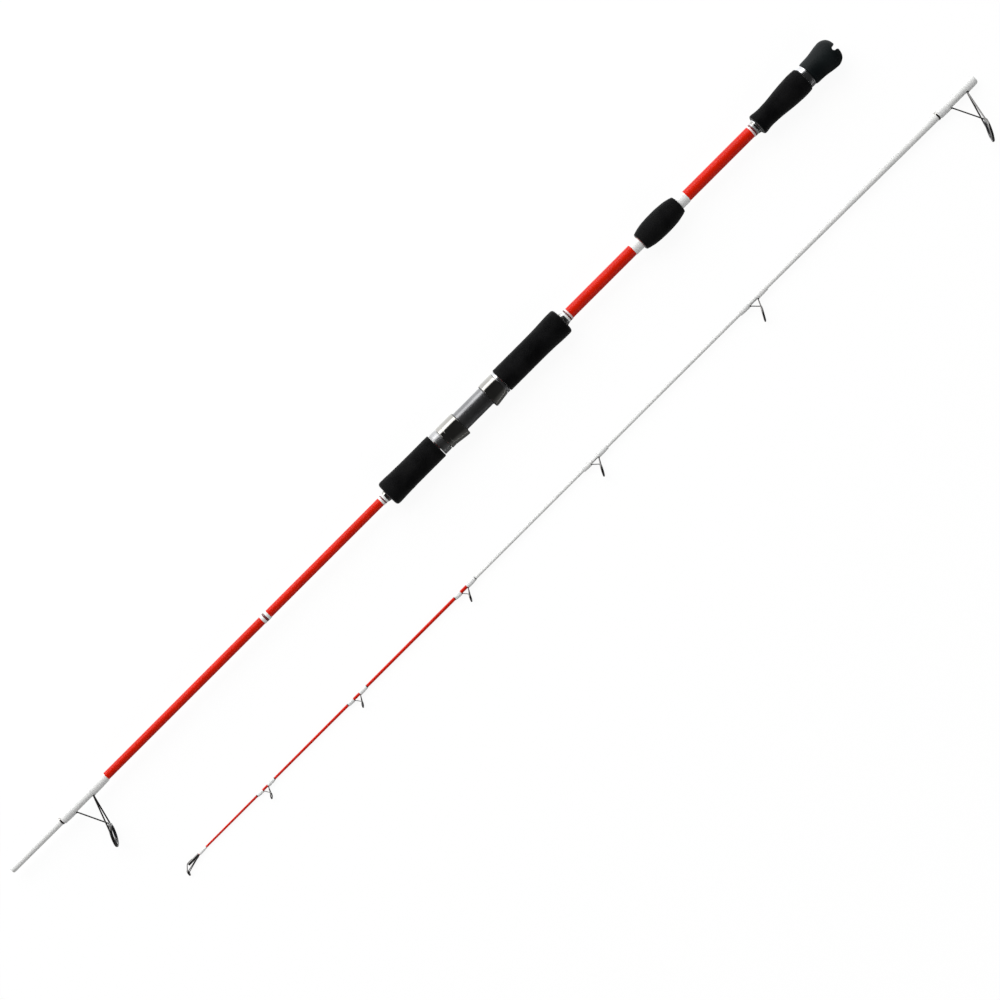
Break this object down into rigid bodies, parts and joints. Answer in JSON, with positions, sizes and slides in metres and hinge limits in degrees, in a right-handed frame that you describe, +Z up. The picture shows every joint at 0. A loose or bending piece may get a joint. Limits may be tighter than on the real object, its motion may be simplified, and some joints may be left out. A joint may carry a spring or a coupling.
{
  "type": "fishing rod",
  "caption": "Two-section boat spinning rod laid out side by side: butt section with foam grips, gimbal, reel seat and spigot, and a slim tip section with ring guides.",
  "frame": {"origin": "centre of the two sections' shared bounding box on the floor that they lie on", "axes": "+X runs along both sections toward their tips, +Y is the side that the guides and the reel foot face, +Z is up"},
  "size_m": [1.1932, 0.187, 0.0302],
  "materials": {
    "orange_lacquer": "glossy orange-red lacquer over the fibre blank",
    "white_lacquer": "glossy white lacquer",
    "thread_wrap": "white thread under clear epoxy",
    "black_foam": "matt closed-cell foam",
    "black_rubber": "matt moulded rubber",
    "graphite": "satin graphite-filled nylon",
    "black_plastic": "satin black nylon",
    "gunmetal": "dark polished gunmetal plating",
    "bright_steel": "bright polished plating",
    "ceramic": "polished dark ceramic"
  },
  "bodies": {
    "butt_section": {"gimbal_butt": "black_rubber", "gimbal_collar": "bright_steel", "rear_grip": "black_foam", "rear_grip_check": "bright_steel", "rear_grip_trim": "thread_wrap", "mid_grip": "black_foam", "mid_grip_rear_collar": "white_lacquer", "mid_grip_front_collar": "white_lacquer", "seat_rear_grip": "black_foam", "seat_rear_grip_check": "bright_steel", "seat_rear_grip_trim": "thread_wrap", "foregrip": "black_foam", "foregrip_check": "bright_steel", "foregrip_trim": "thread_wrap", "handle_tube": "orange_lacquer", "main_blank": "orange_lacquer", "blank_band": "thread_wrap", "ferrule_spigot": "white_lacquer", "ferrule_ring": "gunmetal", "reel_seat_barrel": "graphite", "seat_arbor": "black_plastic", "seat_end_ring": "bright_steel", "fixed_hood_shell": "gunmetal", "fixed_hood_liner": "black_plastic", "stripper_guide_frame": "gunmetal", "stripper_guide_ring": "ceramic", "stripper_guide_main_wrap": "thread_wrap", "stripper_guide_brace_wrap": "thread_wrap"},
    "moving_hood": {"moving_hood_shell": "gunmetal", "moving_hood_liner": "black_plastic"},
    "lock_nut": {"lock_nut": "bright_steel"},
    "tip_section": {"tip_section_tube": "white_lacquer", "solid_tip": "orange_lacquer", "socket_ring": "gunmetal", "socket_guide_frame": "gunmetal", "socket_guide_ring": "ceramic", "socket_guide_main_wrap": "thread_wrap", "socket_guide_brace_wrap": "thread_wrap", "tip_guide_1_frame": "gunmetal", "tip_guide_1_ring": "ceramic", "tip_guide_1_main_wrap": "thread_wrap", "tip_guide_1_brace_wrap": "thread_wrap", "tip_guide_2_frame": "gunmetal", "tip_guide_2_ring": "ceramic", "tip_guide_2_main_wrap": "thread_wrap", "tip_guide_2_brace_wrap": "thread_wrap", "tip_guide_3_frame": "gunmetal", "tip_guide_3_ring": "ceramic", "tip_guide_3_main_wrap": "thread_wrap", "tip_guide_3_brace_wrap": "thread_wrap", "tip_guide_4_frame": "gunmetal", "tip_guide_4_ring": "ceramic", "tip_guide_4_main_wrap": "thread_wrap", "tip_guide_5_frame": "gunmetal", "tip_guide_5_ring": "ceramic", "tip_guide_5_main_wrap": "thread_wrap", "tip_top_frame": "gunmetal", "tip_top_ring": "ceramic", "tip_top_wrap": "thread_wrap"}
  },
  "joints": [
    {"name": "hood_slide", "type": "slide", "parent": "butt_section", "child": "moving_hood", "axis": [-1, 0, 0], "range_m": [0, 0.018]},
    {"name": "nut_spin", "type": "hinge", "parent": "moving_hood", "child": "lock_nut", "pos_m": [0.0108, -0.07845, 0.0151], "axis": [-1, 0, 0], "range_deg": [0, 3240]},
    {"name": "tip_section_slide", "type": "slide", "parent": "butt_section", "child": "tip_section", "axis": [1, 0, 0], "range_m": [0, 1.2]}
  ],
  "couplings": [
    {"joint": "hood_slide", "follows": "nut_spin", "m_per_rad": 0.00031831}
  ]
}
